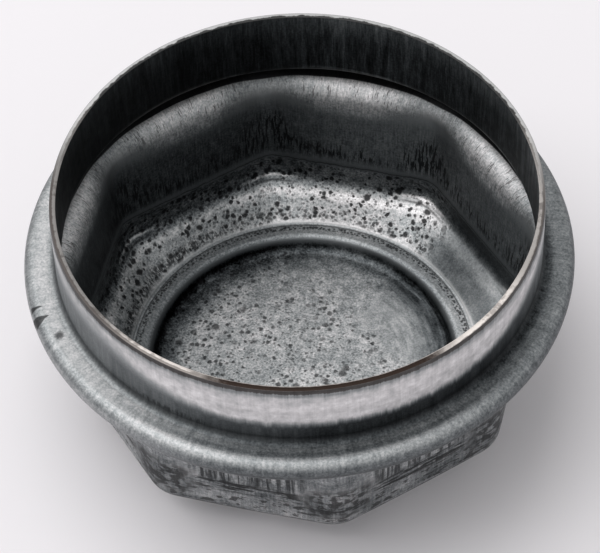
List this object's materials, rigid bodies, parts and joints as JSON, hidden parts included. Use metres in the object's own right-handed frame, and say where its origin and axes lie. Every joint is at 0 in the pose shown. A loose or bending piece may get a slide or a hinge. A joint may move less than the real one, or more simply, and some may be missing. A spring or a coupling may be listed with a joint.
{
  "type": "hub grease cap",
  "caption": "Drawn sheet-steel grease cap that closes a wheel hub: a round press-in spigot, a folded flange bead and a tapered octagonal cup with a dished floor and a round end boss.",
  "frame": {"origin": "centre of the flat end boss that the cap stands on", "axes": "+Z along the cap's axis towards the open end; flats face X, Y and the diagonals between them"},
  "size_m": [0.0736, 0.0736, 0.0378],
  "materials": {
    "zinc_plated_steel": "dull zinc plate over drawn steel sheet, stained and scratched with use"
  },
  "bodies": {
    "root": {"grease_cap": "zinc_plated_steel"}
  },
  "joints": []
}
